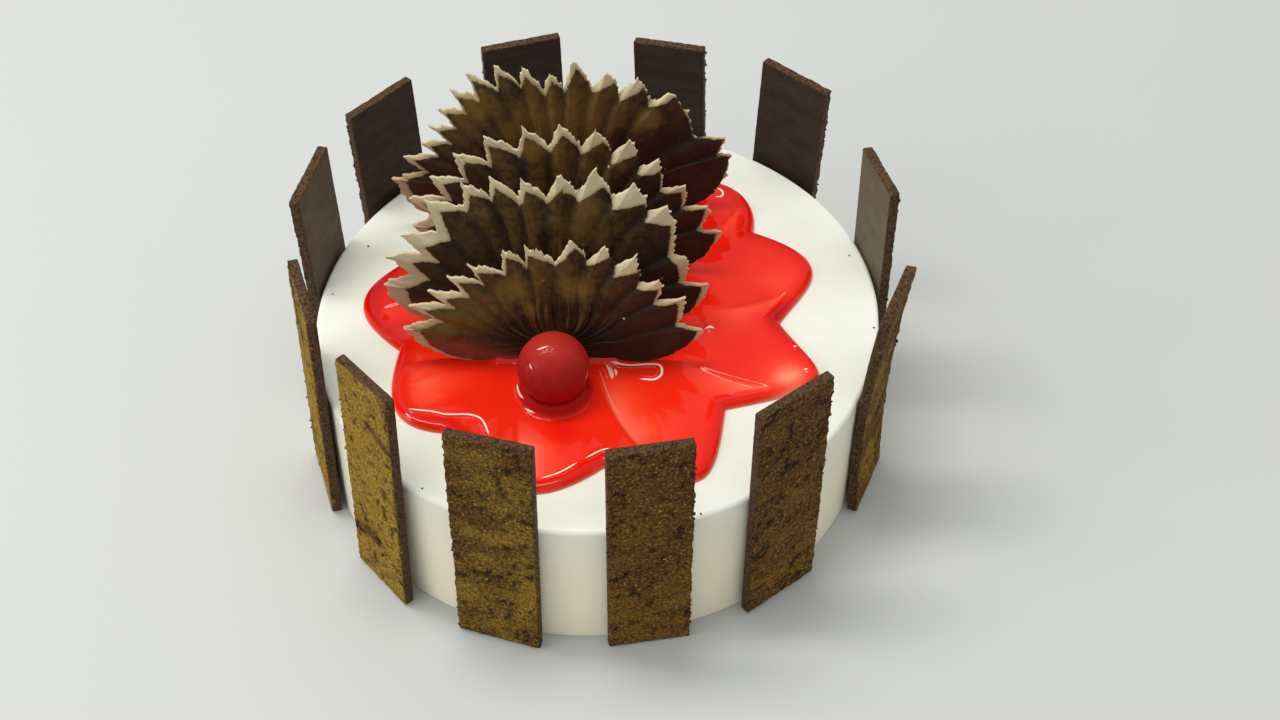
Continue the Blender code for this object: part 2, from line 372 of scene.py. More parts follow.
def buildStudio(spec):
    camera = bpy.data.cameras.new("camera")
    camera.sensor_width = 36
    camera.lens = spec["lens"]
    camera.clip_start = 0.01
    viewer = addObject("camera", camera)
    turn = Matrix.Identity(4)
    for axis, degrees in ("Z", spec["pan"]), ("X", 90 - spec["tilt"]), ("Z", spec["roll"]):
        turn = turn @ Matrix.Rotation(math.radians(degrees), 4, axis)
    viewer.matrix_world = Matrix.Translation(spec["place"]) @ turn
    bpy.context.scene.camera = viewer
    bpy.context.scene.view_settings.view_transform = "Standard"

    world = bpy.data.worlds.new("sky")
    world.use_nodes = True
    sky = world.node_tree.nodes["Background"].inputs
    sky["Color"].default_value = spec["sky"]
    sky["Strength"].default_value = spec["skyStrength"]
    bpy.context.scene.world = world

    for name, place, size, watts, colour in spec["lamps"]:
        lamp = bpy.data.lights.new(name, "AREA")
        lamp.shape = "RECTANGLE"
        lamp.size, lamp.size_y = size
        lamp.energy = watts
        lamp.color = colour[:3]
        stand = addObject(name, lamp)
        away = (Vector(place) - Vector(spec["aim"])).normalized()
        along = (Vector((1, 0, 0)) - away * away.x).normalized()
        if abs(away.x) > 0.8:
            along = (Vector((0, 1, 0)) - away * away.y).normalized()
        facing = Matrix((along, away.cross(along), away)).transposed().to_4x4()
        stand.matrix_world = Matrix.Translation(place) @ facing

    paper = Finish("floorPaper", spec, Roughness=0.75)
    grain = paper.speckle(paper.place(), 0.25, 2.0)
    paper.feed("Base Color", paper.blend(grain * 0.4, "floor", "floorShade"))
    mesh = bpy.data.meshes.new("floor")
    reach = spec["floorReach"]
    corners = ((-reach, -reach), (reach, -reach), (reach, reach), (-reach, reach))
    mesh.from_pydata([(x, y, spec["floorLevel"]) for x, y in corners], [], [(0, 1, 2, 3)])
    mesh.materials.append(paper.material)
    floor = addObject("floor", mesh)


buildStudio(studio)
print("studio ready")


# the cream coat

cream = {
    "radius": 103.2 * mm,
    "height": 58.0 * mm,
    "topRound": 1.8 * mm,
    "baseShift": (-1.6 * mm, -0.7 * mm),
    "uneven": 0.35 * mm,
    "ripple": 0.16 * mm,
    "columns": 384,
    "wallRows": 34,
    "bendSteps": 8,
    "topRings": (3.2 * mm, 101.5 * mm, 60),  # inset of the first and the last, and how many
    "colour": tint(236, 238, 228),
    "shade": tint(228, 230, 217),
    "wall": tint(240, 232, 208),
    "grain": tint(214, 214, 200),
}


def creamFinish(spec):
    made = Finish("creamFinish", spec, **softness(0.12, (1.0, 0.85, 0.6), 0.004))
    place = made.place()
    cloud = made.speckle(place, 45 * mm, 2.0)
    fine = made.speckle(place, 1.6 * mm, 4.0)
    tone = made.blend(cloud.fade(0.35, 0.7), "colour", "shade")
    tone = made.blend(made.attribute("wallShare"), tone, "wall")
    made.feed("Base Color", made.blend(fine * 0.12, tone, "grain"))
    made.feed("Roughness", 0.36 + fine * 0.16)
    swipes = made.speckle(made.stretched(place, (1, 1, 9)), 9 * mm)
    made.relief(fine * 0.35 + swipes, 0.12 * mm, 0.5)
    return made


def wallUneven(angle, spec):
    return spec["uneven"] * (0.6 * np.sin(2 * angle + 0.5) + 0.4 * np.sin(5 * angle))


def buildCream(spec):
    height = spec["height"]
    bend = spec["topRound"]
    profile = [(0.0, 0.0), (0.0, 0.6 * mm)]
    profile += [(0.0, rise) for rise in np.linspace(2 * mm, height - bend, spec["wallRows"])]
    for step in range(spec["bendSteps"]):
        angle = math.radians(90 * (step + 1) / spec["bendSteps"])
        profile.append((bend * (1 - math.cos(angle)), height - bend * (1 - math.sin(angle))))
    profile += [(inset, height) for inset in np.linspace(*spec["topRings"])]
    angles = np.linspace(0, 2 * math.pi, spec["columns"], endpoint=False)
    rows = []
    for inset, rise in profile:
        radius = spec["radius"] + wallUneven(angles, spec) * (1 - inset / spec["radius"]) - inset
        lower = 1 - rise / height
        x = spec["baseShift"][0] * lower + radius * np.cos(angles)
        y = spec["baseShift"][1] * lower + radius * np.sin(angles)
        rows.append(np.stack([x, y, np.full_like(x, rise)], 1))
    points = np.concatenate(rows)
    outward = points * np.array((1, 1, 0))
    outward /= np.maximum(np.linalg.norm(outward, axis=1), 1e-6)[:, None]
    onTop = smooth(points[:, 2], height - bend, height - 0.2 * bend)
    swipe = roughness(points * np.array((0.35, 0.35, 1.6)), 16 * mm, 3)
    ripple = spec["ripple"] * swipe
    foot = smooth(points[:, 2], 0.0, 4 * mm)
    points = points + outward * (ripple * (1 - onTop) * (0.4 + 0.6 * foot))[:, None]
    centre = smooth(np.hypot(points[:, 0], points[:, 1]), 2 * mm, 20 * mm)
    points[:, 2] += 0.5 * ripple * onTop * centre
    count = spec["columns"]
    faces = ringFaces(len(profile), count)
    faces.append(tuple(range(count - 1, -1, -1)))
    last = (len(profile) - 1) * count
    faces.append(tuple(range(last, last + count)))
    piece = makePiece("creamCoat", points, faces, creamFinish(spec), "root", ["cake"], 50)
    down = smooth(height - points[:, 2], 0.4 * mm, 30 * mm)
    paint(piece, "wallShare", (1 - onTop) * (0.45 + 0.55 * down))


buildCream(cream)
print("cream coat ready")


# the red gel, spooned into lobes

gel = {
    "lobes": (
        # notch, then two handles of the curve to the next notch, in mm, clockwise
        ((24, 58), (38, 76), (68, 66)),
        ((61, 36), (96, 17), (77, 5)),
        ((66, -12), (78, -39), (92, -43)),
        ((43, -52), (36, -89), (34, -90)),
        ((0, -75), (-35, -101), (-40, -71)),
        ((-56, -56), (-72, -53), (-78, -43)),
        ((-72, -16), (-92, 4), (-92, 16)),
        ((-66, 33), (-72, 60), (-44, 78)),
        ((-24, 60), (-16, 88), (14, 86)),
    ),
    "middle": (0.0, -5.0),
    "steps": 90,
    "rings": 110,
    "edgeRings": (0.0, 0.12, 0.35, 0.7, 1.15, 1.7, 2.3),
    "bead": 2.7,
    "beadWidth": 2.6,
    "pool": 2.1,
    "thinnest": 0.7,
    "wave": 0.1,
    "sunk": 0.25,
    "strokes": (
        # start, end, reach of the hollow to its soft side, depth: the sharp wall is on the line
        ((-2, -27), (12, -70), 19, 1.3),
        ((24, -24), (72, -47), -17, 1.25),
        ((34, -3), (72, 4), -18, 1.1),
        ((-30, -48), (-24, -84), 17, 1.2),
        ((-38, -30), (-68, -34), 18, 0.25),
        ((30, 26), (58, 54), -14, 0.8),
        ((-50, 8), (-82, 4), 13, 0.7),
        ((-30, 40), (-52, 60), 12, 0.7),
        ((0, 55), (2, 78), 12, 0.7),
    ),
    # place, radius and rise
    "bubbles": ((40.5, -14.4, 1.5, 0.9), (70.1, -25.9, 0.7, 0.5), (72.7, -37.3, 0.9, 0.7)),
    "paintedLightAndShade": (
        # place, reach and how much thicker the gel is painted there: partly its real thickness, partly
        # painted shade where more and painted light where less
        (-76, 12, 20, 0.6), (-66, 44, 18, 0.5), (-24, 76, 22, 0.5), (24, 62, 24, 0.6),
        (-62, -34, 9, -0.75), (-21, -66, 7, -0.5), (-16, -60, 7, 0.6), (67, -41, 8, -2.0),
        (68, 6, 9, -0.6), (24, -60, 9, -0.2), (46, -30, 12, 0.3), (34, 0, 14, 0.4),
        (65, -8, 9, 0.85), (48, 33, 14, 0.5),
    ),
    "gleams": (
        # lines of painted highlight where the light catches the gel: half width, strength, corners
        (0.34, 1.0, ((-68, -46), (-60, -47.1), (-54.4, -49), (-47.4, -49.5), (-43.2, -51),
                     (-41.2, -53.7), (-39.3, -59.8))),
        (0.36, 1.0, ((-22.4, -79.5), (-15.3, -77.6), (-9.1, -73.6))),
        (0.34, 1.0, ((-7, -72.4), (-4.9, -71.2), (-0.8, -68.9), (2.3, -68.2))),
        (0.3, 0.8, ((-68.6, -47.7), (-66.5, -50.4))),
        (0.4, 1.0, ((3.6, -28.7), (10.7, -30.1), (19.6, -30.3), (21.6, -31.6), (21.9, -33.6),
                    (21.2, -36), (18.6, -37.6), (13.4, -36.8))),
        (0.6, 0.6, ((2.0, -29.2), (3.4, -32), (4.2, -36.5))),
        (0.45, 0.7, ((5.0, -31.2), (5.6, -33), (5.4, -35))),
        (0.36, 1.0, ((48.3, 61.3), (50.4, 59.8), (51.2, 57.8), (50.2, 56.2), (47.6, 56.5))),
        (0.2, 0.2, ((-0.6, -30.6), (2.6, -43.6), (5.4, -52))),
        (0.3, 0.9, ((-29.6, -36), (-29.3, -39.4), (-28.6, -42.5), (-27, -45.8))),
        (0.3, 0.9, ((-27.3, -48), (-25.2, -50), (-23, -51.4))),
        (0.7, 1.0, ((38.4, -14.4), (40.4, -13.9), (42.2, -14.6))),
        (0.35, 0.9, ((69.4, -25.8), (70.8, -26))),
        (0.45, 0.9, ((71.9, -37), (73.5, -37.2))),
    ),
    # the painted highlights' colour
    "gleam": tint(255, 240, 226),
    "reds": (
        # from thin gel to thick
        (0.0, tint(254, 150, 122)),
        (0.2, tint(252, 106, 80)),
        (0.36, tint(248, 66, 40)),
        (0.52, tint(239, 40, 18)),
        (0.68, tint(226, 22, 9)),
        (0.84, tint(192, 9, 5)),
        (1.0, tint(112, 3, 3)),
    ),
    "ball": (-16.1, -40.4),
    "ballRim": 10.3,
    "ballRise": 3.6,
    "ballCollar": 3.8,
    # painted shade in the gel round the ball
    "ballShade": 1.7,
    "footRise": 1.5,
    # the fans' places and turns in degrees
    "feet": ((-15.2, -25.3, -4.3), (-17.4, -7.9, -4.3), (-12.3, 19.9, -5.0), (-10.5, 50.6, 0.0)),
    "footHalf": 21.0,
    # dark reds for the collar: painted shade under the ball
    "collar": tint(184, 16, 9),
    "collarDeep": tint(186, 10, 5),
    "collarFoot": tint(228, 34, 16),
}


def gelFinish(spec):
    made = Finish("gelFinish", spec, IOR=1.34, **softness(0.08, (1.0, 0.15, 0.08), 0.003))
    # the red follows the gel's thickness with the painted light and shade added
    depth = made.attribute("gelDepth")
    cloud = made.speckle(made.place(), 14 * mm)
    red = made.ramp(depth * 0.7 + (cloud - 0.5) * 0.06, spec["reds"])
    # painted highlights over the red
    made.feed("Base Color", made.blend(made.gleam(), red, "gleam"))
    made.feed("Roughness", 0.03 + cloud * 0.03)
    return made


def collarFinish(spec):
    # the gel drawn up round the ball is painted dark, as painted shade under the ball, with little
    # light on it
    made = Finish("collarFinish", spec, Specular_IOR_Level=0.12)
    cloud = made.speckle(made.place(), 3 * mm)
    tone = made.blend(cloud.fade(0.35, 0.65), "collar", "collarDeep")
    tone = made.blend(made.attribute("collar").fade(0.0, 0.45), "collarFoot", tone)
    # painted highlights on the collar too
    made.feed("Base Color", made.blend(made.gleam(), tone, "gleam"))
    made.feed("Roughness", 0.3 + cloud * 0.2)
    return made


def gelOutline(spec):
    points = []
    lobes = spec["lobes"]
    for index, lobe in enumerate(lobes):
        corner, near, far = (Vector(point) for point in lobe)
        after = Vector(lobes[(index + 1) % len(lobes)][0])
        points += interpolate_bezier(corner, near, far, after, spec["steps"] + 1)[:-1]
    return np.array([tuple(point) for point in points])


def strokeDepth(points, stroke):
    # a spoon's hollow: steep on its line, soft on one side, deepest in its outer half
    start, end, reach, depth = stroke
    start = np.array(start, float)
    along = np.array(end, float) - start
    length = np.linalg.norm(along)
    along /= length
    arm = points - start
    forward = arm @ along / length
    bow = 3.0 * np.sin(np.clip(forward, 0, 1) * math.pi)
    sideways = (arm[:, 0] * -along[1] + arm[:, 1] * along[0] + bow) * math.copysign(1, reach)
    window = smooth(forward, 0.02, 0.55) * (1 - smooth(forward, 0.82, 1.12))
    steep = smooth(sideways, -0.4, 1.7)
    soft = np.exp(-np.clip(sideways, 0, None) ** 2 / (0.55 * reach) ** 2)
    return depth * window * steep * soft


def gelHeight(points, spec, outline):
    # at these places, in mm: how thick the gel is, how thick it is painted with painted light and
    # shade added, and the ball's collar
    gap, _ = distanceTo(points, np.vstack([outline, outline[:1]]))
    width = spec["beadWidth"]
    edge = np.sqrt(np.clip(1 - (1 - np.clip(gap / width, 0, 1)) ** 2, 0, 1))
    thick = spec["pool"] + (spec["bead"] - spec["pool"]) * (1 - smooth(gap, width, width + 5))
    inner = smooth(gap, 2.0, 6.5)
    for stroke in spec["strokes"]:
        thick = thick - strokeDepth(points, stroke) * inner
    thick = np.maximum(thick, spec["thinnest"]) * edge
    flat = np.column_stack([points, np.zeros(len(points))])
    thick += spec["wave"] * roughness(flat, 11.0, 2) * inner
    depth = thick.copy()
    # painted light and shade, in the colour only
    for x, y, reach, change in spec["paintedLightAndShade"]:
        depth += change * np.exp(-((farFrom(points, x, y) / reach) ** 2))
    fromBall = farFrom(points, *spec["ball"])
    collar = 1 - smooth(fromBall - spec["ballRim"], 0, spec["ballCollar"])
    thick += spec["ballRise"] * collar
    # painted shade round the ball, and a little along the gel's rim
    depth += spec["ballShade"] * smooth(collar, 0.0, 0.5) + 0.25 * (1 - smooth(gap, 0.5, 3.0))
    for x, y, turn in spec["feet"]:
        angle = math.radians(turn)
        along = (points[:, 0] - x) * math.cos(angle) + (points[:, 1] - y) * math.sin(angle)
        off = -(points[:, 0] - x) * math.sin(angle) + (points[:, 1] - y) * math.cos(angle)
        past = np.clip(np.abs(along) - spec["footHalf"], 0, None)
        away = np.hypot(past, np.clip(np.abs(off) - 0.8, 0, None))
        thick += spec["footRise"] * np.exp(-((away / 1.5) ** 1.3))
    for x, y, radius, rise in spec["bubbles"]:
        share = farFrom(points, x, y) / radius
        thick += rise * np.sqrt(np.clip(1 - share**2, 0, 1))
    return thick, depth, collar


def buildGel(spec):
    outline = gelOutline(spec)
    middle = np.array(spec["middle"])
    arms = outline - middle
    reach = np.linalg.norm(arms, axis=1)
    rings = [middle + arms * (1 - inset / reach)[:, None] for inset in spec["edgeRings"]]
    base = rings[-1]
    for share in np.linspace(0, 1, spec["rings"])[1:-1]:
        rings.append(middle + (base - middle) * (1 - share))
    flat = np.concatenate(rings + [middle[None]])
    thick, depth, collar = gelHeight(flat, spec, outline)
    top = cream["height"]
    points = np.column_stack([flat * mm, top + thick * mm])
    sunk = np.column_stack([outline * mm, np.full(len(outline), top - spec["sunk"] * mm)])
    count = len(outline)
    middleIndex = len(points) - 1
    faces = [(two, one, four, three) for one, two, three, four in ringFaces(len(rings), count)]
    last = (len(rings) - 1) * count
    under = len(points)
    for index in range(count):
        after = (index + 1) % count
        faces.append((last + after, last + index, middleIndex))
        faces.append((index, after, under + after, under + index))
    faces.append(tuple(under + index for index in range(count)))
    points = np.concatenate([points, sunk])
    piece = makePiece("gelPool", points, faces, gelFinish(spec), "root", ["gel"])
    # thickness with painted light and shade, as a share of the bead
    paint(piece, "gelDepth", np.concatenate([depth / spec["bead"], np.full(count, 0.6)]))
    paint(piece, "collar", np.concatenate([collar, np.zeros(count)]))
    paintGleams(piece, points[:, :2] / mm, spec["gleams"])
    piece.data.materials.append(collarFinish(spec).material)
    for face in piece.data.polygons:
        if max(face.vertices) < len(collar) and collar[face.vertices[0]] > 0.02:
            face.material_index = 1


buildGel(gel)
print("gel ready")


# the red ball

ball = {
    "radius": 12.7 * mm,
    "place": (-16.1 * mm, -40.4 * mm, 71.9 * mm),
    "lumpiness": 0.10 * mm,
    "colour": tint(160, 18, 11),
    # painted light on the ball's top, painted shade low on it
    "pale": tint(176, 42, 32),
    "deep": tint(164, 13, 9),
    # the painted highlights' colour
    "gleam": tint(250, 190, 176),
    "gleams": (
        # painted highlights, across and up from the middle as the photo shows it
        (0.34, 0.95, ((-5.8, 6.0), (-4.4, 6.4), (-3.0, 6.9), (-0.9, 7.6))),
        (0.32, 0.9, ((-7.7, 1.6), (-7.5, 0.4), (-6.7, -0.8))),
        (0.22, 0.5, ((12.0, -0.6), (11.7, -2.8), (10.9, -4.8))),
        (0.25, 0.5, ((-0.3, 6.3), (0.5, 6.6))),
    ),
}


def ballFinish(spec):
    coat = {"Specular_IOR_Level": 0.16, "Coat_Weight": 0.08, "Coat_Roughness": 0.08}
    made = Finish("ballFinish", spec, **coat, **softness(0.08, (1.0, 0.2, 0.15), 0.003))
    place = made.place()
    cloud = made.speckle(place, 8 * mm)
    fine = made.speckle(place, 0.7 * mm)
    level = made.attribute("level")
    # painted light on the top and painted shade low down, by height as the camera sees it; then pale
    # specks and painted highlights
    tone = made.layers(
        "colour",
        ((level + (cloud - 0.5) * 0.5).fade(0.45, 1.0), "pale"),
        ((level + (cloud - 0.5) * 0.3).fade(0.45, 0.1), "deep"),
        (fine.fade(0.5, 0.75) * 0.3, "pale"),
        # painted highlights
        (made.gleam(), "gleam"),
    )
    made.feed("Base Color", tone)
    made.feed("Roughness", 0.44 + fine * 0.2)
    made.relief(fine + cloud * 2, 0.08 * mm, 0.35)
    return made


def buildBall(spec):
    points, faces = unitSphere(5)
    swell = spec["lumpiness"] * roughness(points, 0.8, 2)
    sphere = points * (spec["radius"] + swell - 0.05 * mm)[:, None]
    finish = ballFinish(spec)
    piece = makePiece("candyBall", sphere + spec["place"], faces, finish, "root", ["ball"])
    # the painted highlights are placed on the ball as the camera sees it
    viewer = bpy.context.scene.camera.matrix_world.to_3x3()
    right, up, back = (np.array(axis) for axis in viewer.transposed())
    seen = np.column_stack([sphere @ right, sphere @ up]) / mm
    seen[points @ back < 0] = 99.0
    paintGleams(piece, seen, spec["gleams"])
    # height as the camera sees it, for the painted light and shade
    paint(piece, "level", 0.5 + 0.5 * points @ up)


buildBall(ball)
print("ball ready")


# the chocolate fans

fans = {
    "pivotHeight": 7.0,
    "baseAboveCake": 3.3,
    "baseSink": 1.6,
    "thickness": 1.7,
    "tipThickness": 1.1,
    "pleat": 1.25,
    "innerRadius": 2.6,
    "notchDepth": 10.5,
    "notchPerDegree": 1.15,
    "notchShallowerRight": 0.3,
    "notchShare": 0.36,
    "notchSwing": 0.2,
    "paleTip": 6.0,
    "paleNotch": 4.2,
    "tipTurn": 7.5,
    "notchTurn": 2.2,
    "stepsPerTooth": 32,
    "rings": 36,
    "innerRings": 14,
    "innerShare": 0.66,
    "gather": 6.0,
    "creases": 58,
    "creaseDepth": 0.5,
    "sway": 0.8,
    "ragged": 1.3,
    "burrs": 1.1,
    "brown": tint(82, 60, 29),
    "dark": tint(46, 31, 17),
    # plum and rust darken the sides: painted shade, darker on the right
    "plum": tint(42, 24, 18),
    "rust": tint(56, 37, 22),
    "olive": tint(124, 98, 42),
    "pale": tint(208, 196, 162),
    "paleLow": tint(198, 162, 134),
    "paleWarm": tint(196, 182, 138),
    "paleToasted": tint(182, 160, 124),
    "paleRim": tint(146, 120, 62),
    "blot": tint(28, 18, 10),
    # painted shade in the fold valleys
    "valley": tint(27, 17, 11),
    "bloom": tint(120, 98, 62),
    # near the base, painted highlight on the ribs and painted shade in the grooves
    "ridge": tint(110, 86, 60),
    "groove": tint(20, 12, 8),
    # painted reflection of the red gel on the low left end
    "redGlow": tint(150, 74, 58),
    "fleck": tint(206, 196, 172),
    "set": {
        # node: place, turn, lean, pale share at the right, pale border's width,
        # each tooth's direction and length, then golden patches as across, up, reach, strength
        "fan_front": (
            (-15.2, -25.3), -4.3, 3, 1.0, 0.68,
            ((8, 53), (26, 50), (39, 48), (55, 50), (68, 49), (81, 49), (100, 46),
             (110, 47), (127, 46), (138, 48), (150, 49), (160, 54), (172, 54)),
            ((-8, 16, 2.4, 1.6), (-14, 25, 6, 0.9), (9, 26, 5, 1.0), (-31, 15, 12, 0.8),
             (-2, 34, 9, 0.4), (-43, 8, 7, 1.0)),
        ),
        "fan_second": (
            (-17.4, -7.9), -4.3, 8, 1.0, 1.0,
            ((11, 59), (24, 55), (46, 62), (59, 63), (73, 62), (84, 58), (97, 56),
             (107, 60), (117, 61), (131, 62), (148, 59), (158, 61), (170, 60)),
            ((16, 44, 5, 0.9), (14, 34, 8, 0.6), (-4, 40, 9, 0.35), (30, 30, 7, 0.25),
             (-24, 40, 5, 0.4)),
        ),
        "fan_third": (
            (-12.3, 19.9), -5, 8, 0.75, 0.68,
            ((10, 60), (22, 59), (34, 55), (49, 55), (62, 57), (75, 56), (88, 56),
             (102, 56), (117, 57), (130, 57), (144, 57), (156, 60), (167, 55)),
            ((-9, 46, 5, 0.9), (2, 42, 7, 0.35), (22, 42, 4, 0.6), (-22, 42, 5, 0.5),
             (12, 36, 10, 0.25)),
        ),
        "fan_back": (
            (-10.5, 50.6), 0, 8, 0.22, 0.55,
            ((14, 66), (21, 66), (46, 61), (60, 59), (71, 57), (84, 60), (93, 55), (102, 59),
             (111, 63), (120, 65), (128, 63), (136, 61), (144, 59), (152, 59), (160, 63), (169, 65)),
            ((-31, 42, 7, 1.2), (-19, 31, 4, 1.0), (-7, 38, 11, 0.75), (33, 33, 5, 1.1),
             (14, 40, 11, 0.65), (-38, 30, 9, 0.6), (2, 24, 14, 0.5)),
        ),
    },
}


def fanFinish(spec):
    made = Finish("fanFinish", spec, Specular_IOR_Level=0.2)
    gap = made.attribute("paleGap")
    dustAndLight = made.attribute("goldDust")
    side = made.attribute("sideways")
    valley = made.attribute("valley")
    base = made.attribute("nearBase")
    streaks = made.attribute("streakPlace", "Vector")
    place = made.place()
    fine = made.speckle(place, 0.7 * mm, 4.0, 0.75)
    medium = made.speckle(place, 2.4 * mm, 5.0, 0.7)
    coarse = made.speckle(place, 8 * mm, 3.0, 0.6)
    lines = made.speckle(streaks, 1.0)
    golden = (dustAndLight * 0.75 + (medium - 0.5) * 0.7 - 0.1).atLeast(0.0).atMost(0.8)
    brown = made.layers(
        "dark",
        ((coarse * 0.6 + medium * 0.4).fade(0.4, 0.6), "brown"),
        # painted shade on the fan's sides
        (side * 0.8, made.blend(made.attribute("leftward"), "plum", "rust")),
        (medium.fade(0.46, 0.3) * 0.35, "blot"),
        # painted shade in the fold valleys
        (valley * 0.72, "valley"),
        (fine.fade(0.56, 0.72) * 0.25, "bloom"),
        # painted highlights on the ribs near the base, painted shade in the grooves
        (base * lines.fade(0.54, 0.64) * 0.35, "ridge"),
        (base * lines.fade(0.5, 0.36) * 0.7, "groove"),
        (golden, "olive"),
        # painted reflection of the red gel on the low left end
        (made.attribute("glow") * (0.4 + coarse * 0.4), "redGlow"),
    )
    wavy = gap + (coarse - 0.5) * 1.2 + (medium - 0.5) * 1.4 + (fine - 0.5) * 1.2
    pale = made.layers(
        "pale",
        (made.attribute("lowSide"), "paleLow"),
        (coarse.fade(0.35, 0.7) * 0.35, "paleWarm"),
        (fine * 0.25, "paleToasted"),
        ((1 - wavy.fade(0.1, 1.3)) * 0.5, "paleRim"),
    )
    mask = wavy.fade(-0.25, 0.3)
    scattered = made.cells(place, 11 * mm).fade(0.06, 0.035) * coarse.fade(0.45, 0.55)
    made.feed("Base Color", made.layers(brown, (mask, pale), (scattered * 0.85, "fleck")))
    made.feed("Roughness", 0.5 + fine * 0.2 + mask * 0.05)
    made.relief(fine * 0.6 + medium + lines * base * 1.6 + mask * 0.5, 0.3 * mm, 0.7)
    return made


def endStretch(length, tipDegrees, pales, spec):
    # the fan's low end from under it out to its first tip
    contact = spec["pivotHeight"] + spec["baseSink"]
    knots = []
    for degrees in (-50, -40, -30, -22, -17, -9):
        knots.append((degrees, contact / math.sin(math.radians(-degrees))))
    knots[-1] = (-9, min(length * 0.74, knots[-1][1]))
    knots += [(-1, length * 0.88), (tipDegrees, length)]
    degrees = np.linspace(-50, tipDegrees, spec["stepsPerTooth"] * 2)[:-1]
    lengths = np.interp(degrees, *zip(*knots))
    pales = np.interp(degrees, (-50, -15, 0, tipDegrees), pales)
    rises = np.interp(degrees, (-50, 0, tipDegrees), (0.3, 0.3, 1.0))
    return [(*row, 0.3, rise, edge) for *row, rise, edge in zip(degrees, lengths, rises, pales)]


def fanEdge(teeth, rightPale, border, spec, source):
    # the fan's edge from its right end round: direction, length, fold, height up the tooth, pale share
    steps = spec["stepsPerTooth"]
    low = np.array((0.0, 0.0, 0.12, 0.5)) * rightPale
    edge = endStretch(teeth[0][1], teeth[0][0], low, spec)
    for (here, length), (after, nextLength) in zip(teeth, teeth[1:]):
        gap = after - here
        rightward = math.cos(math.radians(here + gap / 2))
        depth = min(spec["notchDepth"], spec["notchPerDegree"] * gap)
        depth *= 1 - spec["notchShallowerRight"] * max(rightward, 0)
        notch = (length + nextLength) / 2 - depth
        share = spec["notchShare"] - spec["notchSwing"] * rightward
        pale = rightPale + (1 - rightPale) * float(smooth(here, 35, 60))
        pale *= (0.7 + 0.3 * float(smooth(here, 15, 50))) * source.uniform(0.8, 1.15)
        pale *= 1 + 0.45 * float(smooth(here, 112, 150))
        leftBend = source.uniform(1.1, 1.6)
        rightBend = source.uniform(0.68, 0.95)
        slim = source.uniform(0.5, 1.1)
        for step in range(steps):
            run = step / steps
            # the side that faces left of this tooth, then the side that faces right of the next
            if run < share:
                down = run / share
                rise = (1 - down) ** leftBend
                far = notch + (length - notch) * rise
            else:
                down = (1 - run) / (1 - share)
                rise = (1 - down) ** rightBend
                far = notch + (nextLength - notch) * rise
            shown = pale * (slim + (1 - slim) * rise)
            fold = math.cos(math.pi * down) * (1 - 0.5 * abs(rightward))
            edge.append((here + gap * run, far, fold, rise, shown))
    edge.append((teeth[-1][0], teeth[-1][1], 1.0, 1.0, 1.0))
    leftEnd = endStretch(teeth[-1][1], 180 - teeth[-1][0], (0.0, 0.5, 1.0, 1.45), spec)
    for here, *row in reversed(leftEnd):
        edge.append((180 - here, *row))
    return np.array(edge) * np.array((1, 1, 1, 1, border))


def paleBorder(x, y, edge, spec):
    # how far inside the pale border each point is, in mm: the toothed edge again, moved inwards
    degrees, lengths, _, rises, pales = edge.T
    bump = np.exp(-(((degrees - 56) / 24) ** 2)) * np.minimum(pales * 1.4, 1)
    turned = degrees - bump * (spec["tipTurn"] * rises + spec["notchTurn"] * (1 - rises))
    turned = np.maximum.accumulate(turned)
    wide = spec["paleNotch"] + (spec["paleTip"] - spec["paleNotch"]) * rises
    border = lengths - pales * wide
    line = np.column_stack([border * np.cos(np.radians(turned)), border * np.sin(np.radians(turned))])
    nearest, _ = distanceTo(np.column_stack([x, y]), line)
    seen = np.degrees(np.arctan2(y, x))
    seen = np.where(seen < -90, seen + 360, seen)
    inside = np.hypot(x, y) > np.interp(seen, turned, border)
    return np.where(inside, nearest, -nearest)


def fanShape(edge, spec, seed):
    # the sheet's points as across, up and forward in mm, with their place on the grid
    degrees, lengths, folds, *_ = edge.T
    rings = spec["rings"]
    grid, faces = blockGrid(len(edge) - 1, rings, 2)
    column = grid[:, 0]
    # rings lie closer together in the outer part, where the teeth are
    inner = np.linspace(0, spec["innerShare"], spec["innerRings"], endpoint=False)
    outer = np.linspace(spec["innerShare"], 1, rings + 1 - spec["innerRings"])
    share = np.concatenate([inner, outer])[grid[:, 1]]
    radius = spec["innerRadius"] + (lengths[column] - spec["innerRadius"]) * share
    away = (degrees[column] - 90) / 90
    gather = spec["gather"] * (1 - share) ** 4
    reach = np.clip(np.abs(away), 0, 1)
    spread = np.sign(away) * 90 * reach * (1 + gather) / (1 + gather * reach)
    angle = np.radians(np.where(np.abs(away) <= 1, 90 + spread, degrees[column]))
    x = radius * np.cos(angle)
    y = radius * np.sin(angle)
    layer = grid[:, 2] - 1.0
    thick = spec["thickness"] + (spec["tipThickness"] - spec["thickness"]) * share**3
    fold = folds[column]
    lively = share**0.4 * (0.3 + 0.7 * smooth(share, 0.55, 0.97))
    z = spec["pleat"] * fold * lively + thick / 2 * layer
    crease = np.cos(np.radians(degrees[column]) * spec["creases"]) * smooth(share, 0.06, 0.2)
    crease *= (1 - smooth(share, 0.25, 0.6)) * smooth(np.abs(away), 1.06, 0.9)
    z += spec["creaseDepth"] * crease
    z += spec["sway"] * share * roughness(np.column_stack([x, y, y * 0 + seed * 31]), 13.0, 3)
    rim = (grid[:, 1] == rings) & (grid[:, 2] == 1)
    x = x + 0.25 * np.cos(angle) * rim
    y = y + 0.25 * np.sin(angle) * rim
    return x, y, z, share, column, faces


